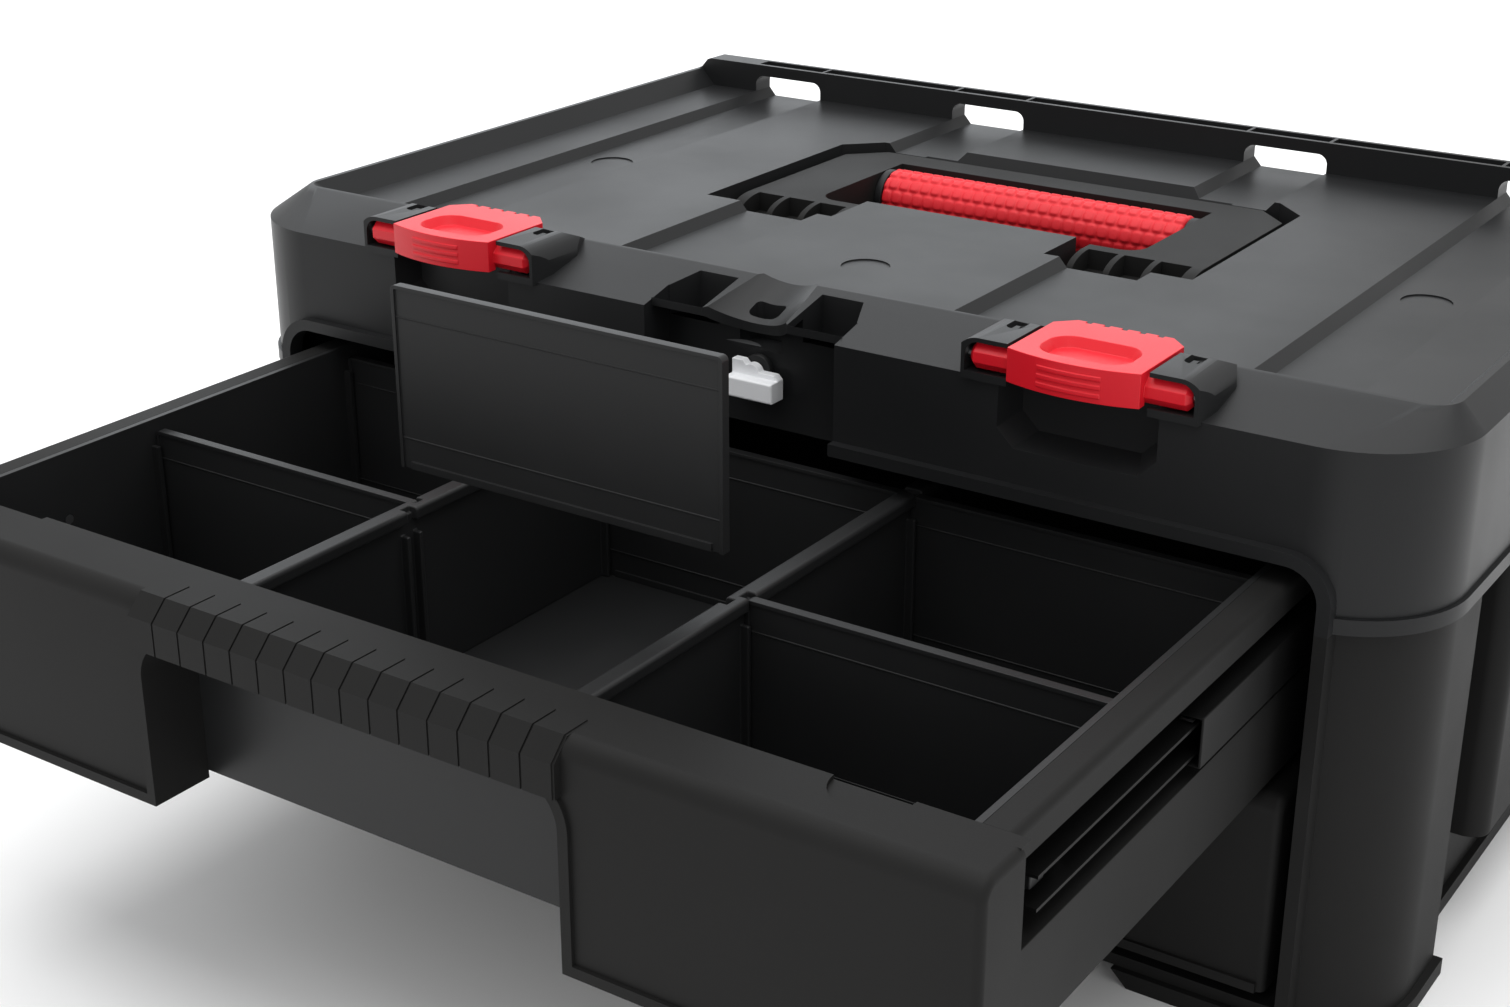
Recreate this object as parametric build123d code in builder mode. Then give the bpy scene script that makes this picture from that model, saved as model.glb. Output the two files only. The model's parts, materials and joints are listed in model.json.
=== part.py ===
"""Stackable organizer box with two drawers on telescopic rails.

Millimetres. +Z is up, the front faces -Y, and the origin is the middle of the base on the
surface that the box stands on. The upper drawer is modelled pulled out, with its middle cross
divider lifted out of its guides, and the lower drawer is modelled shut.
"""
import os
from math import atan, degrees

from build123d import *

os.makedirs("parts", exist_ok=True)

# Drawers
front_width = 475.2
front_height = 82.2
front_thickness = 24.0
front_skin = 3.0
front_edge_radius = 7.0
drawer_gap = 2.0
tub_depth = 305.0
tub_inner_width = 437.2
tub_wall = 2.5
tub_floor = 3.0
tub_lift = 3.0
flange_overhang = 10.9
flange_drop = 11.2
flange_radius = 3.0
ledge_drop = 43.2
ledge_thickness = 2.5
shelf_overlap = 5.0
shelf_thickness = 3.0

# Arch, pull grip and finger dips of a drawer front
arch_width = 184.0
arch_height = 67.0
arch_radius = 16.0
arch_bead = 4.0
arch_bead_proud = 1.5
grip_width = 186.0
grip_height = 19.0
grip_proud = 3.0
grip_chamfer = 7.0
grip_top_depth = 15.0
grip_rib_proud = 0.5
grip_rib_count = 15
grip_rib_gap = 0.8
dip_spacing = 372.0
dip_radius = 14.0
dip_depth = 1.5
front_screw_spacing = 316.0
front_screw_radius = 2.0
front_screw_head_radius = 4.0
front_screw_head = 2.0
front_screw_length = 14.0
front_boss_radius = 5.0

# Dividers
long_divider_spacing = 150.0
long_divider_thickness = 2.6
long_divider_top = 8.0
long_divider_top_height = 5.0
divider_thickness = 2.4
divider_border = 4.0
divider_border_width = 1.5
divider_corner_radius = 2.1
divider_line_drop = 12.0
divider_line_width = 0.6
divider_line_proud = 0.3
divider_hem = 3.0
divider_hem_inset = 5.0
divider_headroom = 3.9
divider_drop = 1.0
divider_end_gap = 0.4
divider_floor_gap = 0.3
divider_setback = 124.8
middle_divider_setback = 116.8
rear_divider_setback = 238.6
guide_depth = 3.5
guide_thickness = 2.0
guide_gap = 0.4
lifted_height = 89.7

# Telescopic rails
rail_thickness = 15.4
rail_height = 26.0
rail_steel = 1.2
rail_end_gap = 2.0
drawer_rail_end_gap = 4.0
rail_front_setback = 35.0
rail_drop = 28.2
rail_web_gap = 0.9
rail_flange_setback = 3.4
outer_ball = 2.4
inner_ball = 2.0
ball_gap = 0.1
ball_count = 7
ball_pitch = 18.0
cage_thickness = 0.7
cage_width = 4.6
stage_travel = 110.0
rail_pad = 3.5
rail_screw_radius = 2.0
rail_screw_inset = 30.0
rail_screw_head_radius = 3.6
rail_screw_head = 0.5
fit_gap = 0.05
release_lever_start = 4.0
release_lever_length = 20.0
release_lever_tab = 9.0

# Case
column_width = 36.5
front_side_gap = 5.9
case_depth = 370.0
corner_radius = 45.0
back_corner_radius = 12.0
wall = 3.0
base_floor = 12.0
base_plate = 4.0
base_rib = 8.0
drawer_floor_gap = 6.8
opening_gap = 7.8
opening_radius = 13.0
header_height = 53.0
parting_drop = 15.2
upper_front_proud = 10.0
lower_front_proud = 1.0
bay_back_gap = 16.0
bead_width = 5.0
bead_proud = 4.0
ring_proud = 1.5
ring_height = 6.0
lower_inset = 2.0
side_recess_length = 220.0
side_recess_depth = 16.0
foot_height = 7.0
foot_proud = 3.0
front_relief_width = 352.0
front_relief_height = 7.0

# Lid
bevel_drop = 9.0
bevel_side = 10.0
bevel_front = 36.0
bevel_back = 3.0
rim_flat = 2.5
rim_corner_radius = 12.0
back_wall_rise = 6.0
back_wall_half = 262.0
back_wall_depth = 14.0
back_channel_lip = 2.5
back_channel_depth = 4.0
back_channel_rib = 1.6
rim_side_slope = 10.5
rim_front_slope = 6.0
panel_drop = 9.0
groove_depth = 4.5
groove_slope = 4.0
groove_width = 42.7
inner_groove_x = 82.9
outer_groove_x = 209.3
back_slot_height = 13.5
back_slot_radius = 5.0
rear_front_slope = 5.0
rear_front_drop = 9.0
mark_radius = 10.5
mark_depth = 0.6
side_mark_y = 9.0
middle_mark_y = -88.5

# Latches
latch_x = 147.4
latch_pad_width = 52.4
latch_bar_width = 87.2
latch_bar = 10.0
latch_pivot_setback = 3.0
latch_pivot_drop = 1.5
latch_pad_length = 43.0
latch_pad_thickness = 5.4
latch_pad_gap = 0.6
latch_lip_thickness = 4.5
latch_lip_drop = 13.0
latch_lip_reach = 6.0
latch_lip_bulge = 4.5
latch_rib_width = 25.0
latch_rib_proud = 0.5
latch_rib_height = 1.6
latch_rib_pitch = 3.2
latch_rib_count = 3
latch_tooth_count = 5
latch_tooth_pitch = 7.2
latch_tooth_width = 2.2
latch_tooth_depth = 1.8
latch_corner = 7.0
latch_bar_chamfer = 3.0
latch_bar_end_chamfer = 2.0
latch_dish_width = 36.0
latch_dish_length = 23.0
latch_dish_setback = 2.5
latch_dish_corner = 9.0
latch_dish_taper = 30.0
latch_dish_depth = 3.8
latch_side_gap = 1.6
latch_ear = 4.5
latch_hood_rise = 6.0
latch_hood_gap = 0.4
latch_hood_radius = 10.0
latch_hood_flat = 26.0
latch_hood_front_cut = 3.0
latch_hood_front_run = 10.0
latch_hood_back_cut = 7.0
latch_pin_bed = 2.0
latch_pocket_depth = 12.5
latch_recess_height = 23.0
latch_recess_chamfer = 7.0
latch_recess_slope = 4.0
latch_pin_radius = 2.0
running_gap = 0.08
keyhole_length = 14.0
keyhole_width = 6.5
keyhole_tab_length = 6.0
keyhole_tab_width = 2.2
keyhole_tab_drop = 0.8
keyhole_x = 35.3
keyhole_y = -163.0
keyhole_depth = 3.0

# Lock
lock_recess_width = 90.0
lock_recess_depth = 17.0
lock_wall_drop = 3.0
lip_setback = 5.0
lip_rise = 2.0
lip_slope = 0.39
lip_thickness = 3.3
lip_scoop_radius = 27.5
lip_scoop_depth = 14.0
trough_back_setback = 31.0
trough_in = 20.0
trough_out_front = 45.0
trough_out_back = 39.0
saddle_half = 20.0
saddle_radius = 26.0
saddle_front_z = 233.6
saddle_slope = 0.357
saddle_thickness = 3.8
saddle_cut_length = 148.0
padlock_hole_width = 14.0
padlock_hole_depth = 9.0
padlock_hole_radius = 2.5
padlock_hole_setback = 17.5
padlock_room_low = 222.0
padlock_room_high = 230.0
lock_drop = 32.0
lock_boss_radius = 6.5
lock_boss_height = 3.0
lock_spindle_radius = 3.0
lock_cam_length = 14.0
lock_cam_width = 6.0
lock_cam_thickness = 3.0
lever_length = 13.0
lever_tab_low = 9.5
lever_tab_high = 1.0
lever_edge = 1.0
lever_gap = 0.3
lever_crest = 5.0
lever_tab_depth = 9.0
lever_hub_radius = 3.9
lever_tail = 9.0
lever_tail_width = 5.0
lever_hub_height = 4.0

# Carry handle
handle_width = 234.0
handle_arm = 34.0
handle_thickness = 13.0
handle_sink = 3.0
handle_front_y = -19.5
handle_back_y = 100.0
handle_chamfer = 16.0
handle_spine = 17.0
handle_gap = 6.0
handle_front_gap = 10.5
handle_well_depth = 44.0
handle_block_width = 57.5
handle_block_depth = 23.5
handle_block_corner = 10.0
handle_nose_length = 16.5
handle_nose_height = 7.0
handle_pivot_setback = 8.5
handle_pin_radius = 3.0
handle_pin_length = 5.0
handle_cells = 3
handle_cell_width = 14.3
handle_cell_depth = 9.0
handle_cell_rib = 3.0
tongue_width = 108.0
tongue_back_y = 1.5
grip_length = 158.0
grip_radius = 14.0
grip_core_radius = 8.0
grip_collar_radius = 13.0
grip_sink = 16.0
grip_gap = 0.6

# Side carry handles
side_handle_length = 148.0
side_handle_reach = 18.0
side_handle_bottom = 43.0

# Housing screws
post_radius = 6.5
post_x = 261.0
post_y = 150.0
screw_radius = 2.4
screw_head_radius = 4.4
screw_head_height = 4.0
screw_shelf = 12.0
screw_length = 30.0

# Worked-out levels and places
drawer_pitch = front_height + drawer_gap
lower_front_bottom = base_floor + drawer_floor_gap
upper_front_bottom = lower_front_bottom + drawer_pitch
upper_top = upper_front_bottom + front_height
opening_top = upper_top + opening_gap
rim_height = opening_top + header_height
parting_height = upper_top - parting_drop
bevel_height = rim_height - bevel_drop
panel_height = rim_height - panel_drop
groove_floor = panel_height - groove_depth
lid_under = groove_floor - wall

tub_wall_x = tub_inner_width / 2 + tub_wall
rail_face_x = tub_wall_x + rail_thickness
bay_half = rail_face_x + rail_pad
opening_half = front_width / 2 + front_side_gap
case_half = opening_half + column_width
case_width = 2 * case_half
front_y = -case_depth / 2
back_y = case_depth / 2
rim_front_y = front_y + bevel_front
rim_back_y = back_y - bevel_back
upper_shut_y = front_y - upper_front_proud
lower_shut_y = front_y - lower_front_proud
upper_open_y = upper_shut_y - 2 * stage_travel
bay_back_y = upper_shut_y + front_thickness + tub_depth + bay_back_gap
inner_half = max(opening_half, bay_half) + wall
rail_length = bay_back_y - rail_end_gap - front_y - rail_front_setback
drawer_rail_setback = rail_front_setback + upper_front_proud - front_thickness
drawer_rail_length = tub_depth - drawer_rail_setback - drawer_rail_end_gap
case_screw_depths = (front_y + rail_front_setback + rail_screw_inset,
                     bay_back_y - rail_end_gap - rail_screw_inset)
latch_pivot_y = front_y + latch_pivot_setback
latch_pivot_z = rim_height - latch_pivot_drop
lock_z = rim_height - lock_drop
lock_wall_y = front_y + lock_recess_depth
handle_pivot_y = handle_front_y + handle_pivot_setback
handle_top = panel_height - handle_sink
handle_pivot_z = handle_top - handle_thickness / 2
grip_y = handle_back_y - handle_spine - grip_radius - grip_gap
grip_z = panel_height - grip_sink


def save(piece, name):
    """Labels a finished piece and writes it under its name."""
    piece.label = name
    export_step(piece, f"parts/{name}.step")


def block(x, y, z, mode=Mode.ADD):
    """A box between the low and high limits of each axis, in the current part."""
    with Locations(((x[0] + x[1]) / 2, (y[0] + y[1]) / 2, (z[0] + z[1]) / 2)):
        Box(x[1] - x[0], y[1] - y[0], z[1] - z[0], mode=mode)


def rod(x, y, z, radius, mode=Mode.ADD):
    """A cylinder along the one axis that is given as a pair of limits, in the current part."""
    if isinstance(x, tuple):
        with Locations(Location(((x[0] + x[1]) / 2, y, z), (0, 90, 0))):
            Cylinder(radius, x[1] - x[0], mode=mode)
    elif isinstance(y, tuple):
        with Locations(Location((x, (y[0] + y[1]) / 2, z), (90, 0, 0))):
            Cylinder(radius, y[1] - y[0], mode=mode)
    else:
        with Locations((x, y, (z[0] + z[1]) / 2)):
            Cylinder(radius, z[1] - z[0], mode=mode)


def span(middle, width):
    """The low and high limits of a width about its middle."""
    return (middle - width / 2, middle + width / 2)


def side_span(side, near, far):
    """The low and high X limits of what lies between two distances on one side."""
    return (min(side * near, side * far), max(side * near, side * far))


def rounded_face(width, y_limits, front_radius, back_radius, height):
    """A rectangle at a height, between two depths, with its own corner radius front and back."""
    with BuildSketch(Plane.XY.offset(height)) as outline:
        with Locations((0, (y_limits[0] + y_limits[1]) / 2)):
            Rectangle(width, y_limits[1] - y_limits[0])
        corners = outline.vertices().group_by(Axis.Y)
        fillet(corners[0], front_radius)
        fillet(corners[-1], back_radius)
    return outline.sketch


def face_xy(points, height):
    """A polygon in X and Y at a height. It extrudes upwards."""
    with BuildSketch(Plane.XY.offset(height)) as outline:
        with BuildLine():
            Polyline(points, close=True)
        make_face()
    return outline.sketch


def face_xz(points, y):
    """A polygon in X and Z at a depth. It extrudes towards the front."""
    with BuildSketch(Plane.XZ.offset(-y)) as outline:
        with BuildLine():
            Polyline(points, close=True)
        make_face()
    return outline.sketch


def face_yz(points, x):
    """A polygon in Y and Z at one X. It extrudes towards +X."""
    with BuildSketch(Plane.YZ.offset(x)) as outline:
        with BuildLine():
            Polyline(points, close=True)
        make_face()
    return outline.sketch


def arch_face(half_width, low, high, radius, y, middle=0.0):
    """A rectangle in X and Z whose two upper corners are round. It extrudes towards the front."""
    left = middle - half_width
    right = middle + half_width
    with BuildSketch(Plane.XZ.offset(-y)) as outline:
        with BuildLine():
            Polyline((left, high - radius), (left, low), (right, low), (right, high - radius))
            RadiusArc((right, high - radius), (right - radius, high), -radius)
            Line((right - radius, high), (left + radius, high))
            RadiusArc((left + radius, high), (left, high - radius), -radius)
        make_face()
    return outline.sketch


def groove_points(x):
    """A lid groove's section: a flat floor and two sloped sides, up past the panel."""
    half = groove_width / 2
    return [(x - half, panel_height), (x - half + groove_slope, groove_floor),
            (x + half - groove_slope, groove_floor), (x + half, panel_height),
            (x + half, panel_height + 1.0), (x - half, panel_height + 1.0)]


def case_face(inset, height):
    """The case's plan at a height, set in from its outer face."""
    return rounded_face(case_width - 2 * inset, (front_y + inset, back_y - inset),
                        corner_radius - inset, back_corner_radius - inset, height)


def lip_top(y):
    """The height of the lock lip's upper face at a depth. It falls towards the back."""
    return lip_front_z - lip_slope * (y - lip_front_y)


def saddle_face(y):
    """The section of the lock lip's saddle at a depth: an arc below and flat above."""
    z = saddle_front_z + saddle_slope * (y - scoop_y)
    crest = max(lip_front_z, bevel_height + (y - front_y) * bevel_drop / bevel_front)
    ends = crest - lip_thickness
    with BuildSketch(Plane.XZ.offset(-y)) as outline:
        with BuildLine():
            ThreePointArc((-saddle_half, ends), (0, z - saddle_thickness), (saddle_half, ends))
            Polyline((saddle_half, ends), (saddle_half, crest), (-saddle_half, crest),
                     (-saddle_half, ends))
        make_face()
    return outline.sketch


def recess_points(x, half_width, low, high):
    """The outline of a latch's finger recess, with its two lower corners cut off."""
    cut = latch_recess_chamfer
    return [(x - half_width + cut, low), (x + half_width - cut, low),
            (x + half_width, low + cut), (x + half_width, high),
            (x - half_width, high), (x - half_width, low + cut)]


def latch_hood(x, half_width, y_front):
    """The hood over a latch's bar: an arch from front to back, with its four corners cut off."""
    low = pocket_low - wall
    y_flat = y_front + latch_hood_flat
    corners = [(half_width - latch_hood_front_cut, y_front),
               (half_width, y_front + latch_hood_front_run), (half_width, y_flat),
               (half_width - latch_hood_back_cut, panel_front_y)]
    with BuildPart() as hood:
        extrude(arch_face(half_width, low, hood_top, latch_hood_radius, panel_front_y, x),
                amount=panel_front_y - y_front)
        extrude(face_xy([(x + away, y) for away, y in corners]
                        + [(x - away, y) for away, y in reversed(corners)], low),
                amount=hood_top - low, mode=Mode.INTERSECT)
    return hood.part


# Upper housing: lid, header over the drawers and the upper side walls
well_floor = panel_height - handle_well_depth
well_half = handle_width / 2 + handle_gap
well_front = handle_front_y - handle_front_gap
well_back = handle_back_y + handle_gap
panel_front_y = rim_front_y + rim_flat
panel_back_y = back_y - back_wall_depth
back_wall_top = rim_height + back_wall_rise
lip_front_y = front_y + lip_setback
lip_front_z = bevel_height + lip_rise
trough_back_y = front_y + trough_back_setback
scoop_y = front_y + lip_scoop_depth
hood_top = rim_height + latch_hood_rise
bar_room = (latch_bar / 2 - latch_bar_chamfer) ** 2 + (latch_bar / 2) ** 2
pocket_low = latch_pivot_z - bar_room ** 0.5 - latch_hood_gap
pocket_high = latch_pivot_z + bar_room ** 0.5 + latch_hood_gap

with BuildPart() as upper_housing:
    extrude(case_face(0, parting_height), amount=bevel_height - parting_height)
    loft([case_face(0, bevel_height),
          rounded_face(case_width - 2 * bevel_side, (rim_front_y, rim_back_y),
                       rim_corner_radius, rim_corner_radius - bevel_back, rim_height)], ruled=True)
    extrude(case_face(-ring_proud, parting_height), amount=ring_height)
    # Hollow under the lid, and the sunk panel
    extrude(case_face(wall, parting_height), amount=lid_under - parting_height,
            mode=Mode.SUBTRACT)
    panel_half = case_half - bevel_side
    panel_corner = rim_corner_radius - bevel_back - rim_flat
    loft([rounded_face(2 * (panel_half - rim_flat), (panel_front_y, panel_back_y),
                       panel_corner, panel_corner, rim_height),
          rounded_face(2 * (panel_half - rim_side_slope),
                       (panel_front_y + rim_front_slope, panel_back_y),
                       panel_corner, panel_corner, panel_height)],
         ruled=True, mode=Mode.SUBTRACT)
    # Raised back wall, whose ends run down into the rim, with a channel along its top
    end_run = panel_half - back_wall_half
    wall_points = [(panel_half, bevel_height), (panel_half, rim_height),
                   (panel_half - end_run / 4, rim_height + back_wall_rise / 8),
                   (back_wall_half + end_run / 4, back_wall_top - back_wall_rise / 8),
                   (back_wall_half, back_wall_top)]
    extrude(face_xz(wall_points + [(-x, z) for x, z in reversed(wall_points)], back_y),
            amount=back_wall_depth)
    groove_edges = sorted(side * x + hand * groove_width / 2 for side in (-1, 1)
                          for x in (inner_groove_x, outer_groove_x) for hand in (-1, 1))
    for start, end in zip(groove_edges, groove_edges[1:]):
        block((start + back_channel_rib / 2, end - back_channel_rib / 2),
              (panel_back_y + back_channel_lip, back_y - back_channel_lip),
              (back_wall_top - back_channel_depth, back_wall_top + 1.0), mode=Mode.SUBTRACT)
    # Grooves from front to back, each of which ends in a slot through the back wall
    block(span(0, 2 * (well_half + wall)), (well_front - wall, well_back + wall),
          (well_floor - wall, lid_under + 1.0))
    for x in (-outer_groove_x, -inner_groove_x, inner_groove_x, outer_groove_x):
        extrude(face_xz(groove_points(x), back_y + ring_proud),
                amount=back_y + ring_proud - panel_front_y - rim_front_slope, mode=Mode.SUBTRACT)
        extrude(arch_face(groove_width / 2, panel_height, groove_floor + back_slot_height,
                          back_slot_radius, back_y + ring_proud, x),
                amount=back_wall_depth + ring_proud, mode=Mode.SUBTRACT)
    # Well for the carry handle, with a tongue that reaches back between its hinges
    extrude(face_xy([(-well_half, well_front), (well_half, well_front),
                     (well_half, well_back - handle_chamfer),
                     (well_half - handle_chamfer, well_back),
                     (-well_half + handle_chamfer, well_back),
                     (-well_half, well_back - handle_chamfer)], well_floor),
            amount=rim_height - well_floor, mode=Mode.SUBTRACT)
    block(span(0, tongue_width), (well_front - wall, tongue_back_y), (well_floor, panel_height))
    block(span(0, tongue_width - 2 * wall), (well_front - 1.0, tongue_back_y - wall),
          (well_floor - wall, panel_height - wall), mode=Mode.SUBTRACT)
    extrude(face_yz([(well_back - 1.0, panel_height - rear_front_drop),
                     (well_back, panel_height - rear_front_drop),
                     (well_back + rear_front_slope, panel_height),
                     (well_back + rear_front_slope, panel_height + 1.0),
                     (well_back - 1.0, panel_height + 1.0)], -inner_groove_x),
            amount=2 * inner_groove_x, mode=Mode.SUBTRACT)
    for side in (-1, 1):
        rod(side_span(side, well_half, well_half + wall), handle_pivot_y, handle_pivot_z,
            handle_pin_radius + fit_gap, mode=Mode.SUBTRACT)
    # Drawer opening with its bead
    extrude(arch_face(opening_half + bead_width, parting_height, opening_top + bead_width,
                      opening_radius + bead_width, front_y + wall), amount=wall + bead_proud)
    extrude(arch_face(opening_half, parting_height - 1.0, opening_top, opening_radius,
                      front_y + 2 * wall), amount=3 * wall + bead_proud, mode=Mode.SUBTRACT)
    # Lock recess with its back wall, and two troughs behind the lip
    recess_half = lock_recess_width / 2
    block((-recess_half - wall, recess_half + wall), (front_y + wall / 2, lock_wall_y + wall),
          (opening_top, panel_height))
    block((-recess_half, recess_half), (lock_wall_y, lock_wall_y + wall),
          (opening_top - lock_wall_drop, panel_height))
    block((-recess_half - wall, recess_half + wall), (lock_wall_y, trough_back_y + wall),
          (padlock_room_low - wall, panel_height))
    block((-recess_half, recess_half), (front_y - 2 * bead_proud, lock_wall_y),
          (opening_top - 1.0, rim_height + 1.0), mode=Mode.SUBTRACT)
    trough_low = lip_top(trough_back_y)
    for side in (-1, 1):
        extrude(face_xy([(side * trough_in, lock_wall_y - 1.0),
                         (side * trough_out_front, lock_wall_y - 1.0),
                         (side * trough_out_back, trough_back_y),
                         (side * trough_in, trough_back_y)], trough_low),
                amount=rim_height - trough_low, mode=Mode.SUBTRACT)
    # Lip over the recess, with a saddle and a padlock hole in its middle
    extrude(face_yz([(lip_front_y, lip_front_z - lip_thickness), (lip_front_y, lip_front_z),
                     (trough_back_y, trough_low), (trough_back_y, trough_low - lip_thickness)],
                    -recess_half), amount=lock_recess_width)
    loft([saddle_face(trough_back_y), saddle_face(lip_front_y)], ruled=True)
    saddle_tilt = 1.0 / (1.0 + saddle_slope ** 2) ** 0.5
    with Locations(Location((0, scoop_y - saddle_radius * saddle_tilt * saddle_slope,
                             saddle_front_z + saddle_radius * saddle_tilt),
                            (90 + degrees(atan(saddle_slope)), 0, 0))):
        Cylinder(saddle_radius, saddle_cut_length, mode=Mode.SUBTRACT)
    rod(0, scoop_y - lip_scoop_radius, (padlock_room_high - 2.0, rim_height + 1.0),
        lip_scoop_radius, mode=Mode.SUBTRACT)
    hole_y = front_y + padlock_hole_setback + padlock_hole_depth / 2
    with BuildSketch(Plane.XY.offset(padlock_room_low)) as hole:
        with Locations((0, hole_y)):
            RectangleRounded(padlock_hole_width, padlock_hole_depth, padlock_hole_radius)
    extrude(hole.sketch, amount=rim_height - padlock_room_low, mode=Mode.SUBTRACT)
    block(span(0, padlock_hole_width + 2 * wall),
          (lock_wall_y - 1.0, hole_y + padlock_hole_depth / 2 + wall),
          (padlock_room_low, padlock_room_high), mode=Mode.SUBTRACT)
    rod(0, (lock_wall_y - 1.0, lock_wall_y + wall + 1.0), lock_z,
        lock_spindle_radius + running_gap, mode=Mode.SUBTRACT)
    # Latch seats: hoods over the bar, pocket for the bar and finger recess below it
    for side in (-1, 1):
        x = side * latch_x
        ear_in = latch_bar_width / 2 + latch_side_gap
        ear_out = ear_in + latch_ear
        pad_in = latch_pad_width / 2 + latch_side_gap
        pocket_back = front_y + latch_pocket_depth
        hood_front = latch_pivot_y - latch_bar / 2
        recess_low = pocket_low - latch_recess_height
        block((x - ear_out, x + ear_out), (front_y + wall / 2, pocket_back + wall),
              (recess_low - 2 * wall, bevel_height))
        add(latch_hood(x, ear_out, hood_front))
        block((x - pad_in, x + pad_in), (hood_front - 1.0, panel_front_y),
              (rim_height, hood_top + 1.0), mode=Mode.SUBTRACT)
        extrude(face_yz([(pocket_back, bevel_height), (panel_front_y, rim_height),
                         (panel_front_y, hood_top), (pocket_back, hood_top)], x - pad_in),
                amount=2 * pad_in, mode=Mode.SUBTRACT)
        extrude(face_yz([(hood_front + latch_hood_flat, hood_top), (panel_front_y, rim_height),
                         (panel_front_y, hood_top + 1.0),
                         (hood_front + latch_hood_flat, hood_top + 1.0)], x - ear_out),
                amount=2 * ear_out, mode=Mode.SUBTRACT)
        extrude(arch_face(ear_in, pocket_low, pocket_high, latch_hood_radius - latch_ear,
                          pocket_back, x), amount=latch_pocket_depth + 2 * bead_proud,
                mode=Mode.SUBTRACT)
        block((x - pad_in, x + pad_in), (front_y - 2 * bead_proud, pocket_back),
              (pocket_low, hood_top + 1.0), mode=Mode.SUBTRACT)
        block((x - pad_in, x + pad_in), (front_y - 2 * bead_proud, front_y),
              (pocket_low - 2 * wall, pocket_low + 1.0), mode=Mode.SUBTRACT)
        loft([face_xz(recess_points(x, pad_in + latch_recess_slope, recess_low
                                    - latch_recess_slope, pocket_low), front_y),
              face_xz(recess_points(x, pad_in, recess_low, pocket_low), pocket_back)],
             mode=Mode.SUBTRACT)
        rod((x - ear_in - latch_pin_bed, x + ear_in + latch_pin_bed), latch_pivot_y, latch_pivot_z,
            latch_pin_radius + fit_gap, mode=Mode.SUBTRACT)
        for hand in (-1, 1):
            with BuildSketch(Plane.XY.offset(hood_top)) as keyhole:
                with Locations((x + hand * keyhole_x, keyhole_y)):
                    SlotOverall(keyhole_length, keyhole_width, rotation=90)
            extrude(keyhole.sketch, amount=-keyhole_depth, mode=Mode.SUBTRACT)
            block(span(x + hand * keyhole_x, keyhole_tab_width),
                  (keyhole_y - keyhole_length / 2, keyhole_y - keyhole_length / 2
                   + keyhole_tab_length), (hood_top - keyhole_depth - 1.0,
                                           hood_top - keyhole_tab_drop))
    # Round moulding marks in the outer grooves and on the panel
    for mark_x, mark_y, mark_z in ((-outer_groove_x, side_mark_y, groove_floor),
                                   (outer_groove_x, side_mark_y, groove_floor),
                                   (0, middle_mark_y, panel_height)):
        rod(mark_x, mark_y, (mark_z - mark_depth, mark_z + 1.0), mark_radius, mode=Mode.SUBTRACT)
    # Bosses that take the housing screws
    for x in (-post_x, post_x):
        for y in (-post_y, post_y):
            rod(x, y, (parting_height, lid_under + 1.0), post_radius)
            rod(x, y, (parting_height - 1.0, parting_height + screw_length - screw_shelf),
                screw_radius + fit_gap, mode=Mode.SUBTRACT)
save(upper_housing.part, "upper_housing")


def lower_outline(inset, height):
    """The lower housing's plan, with a recess in each side, set in from its outer face."""
    half = case_half - lower_inset - inset
    with BuildSketch(Plane.XY.offset(height)) as outline:
        add(rounded_face(2 * half, span(0, case_depth - 2 * lower_inset - 2 * inset),
                         corner_radius - inset, back_corner_radius - inset, 0))
        recess_x = half - side_recess_depth + lower_inset
        with Locations((recess_x + half / 2, 0), (-recess_x - half / 2, 0)):
            Rectangle(half, side_recess_length + 2 * inset, mode=Mode.SUBTRACT)
    return outline.sketch


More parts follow.
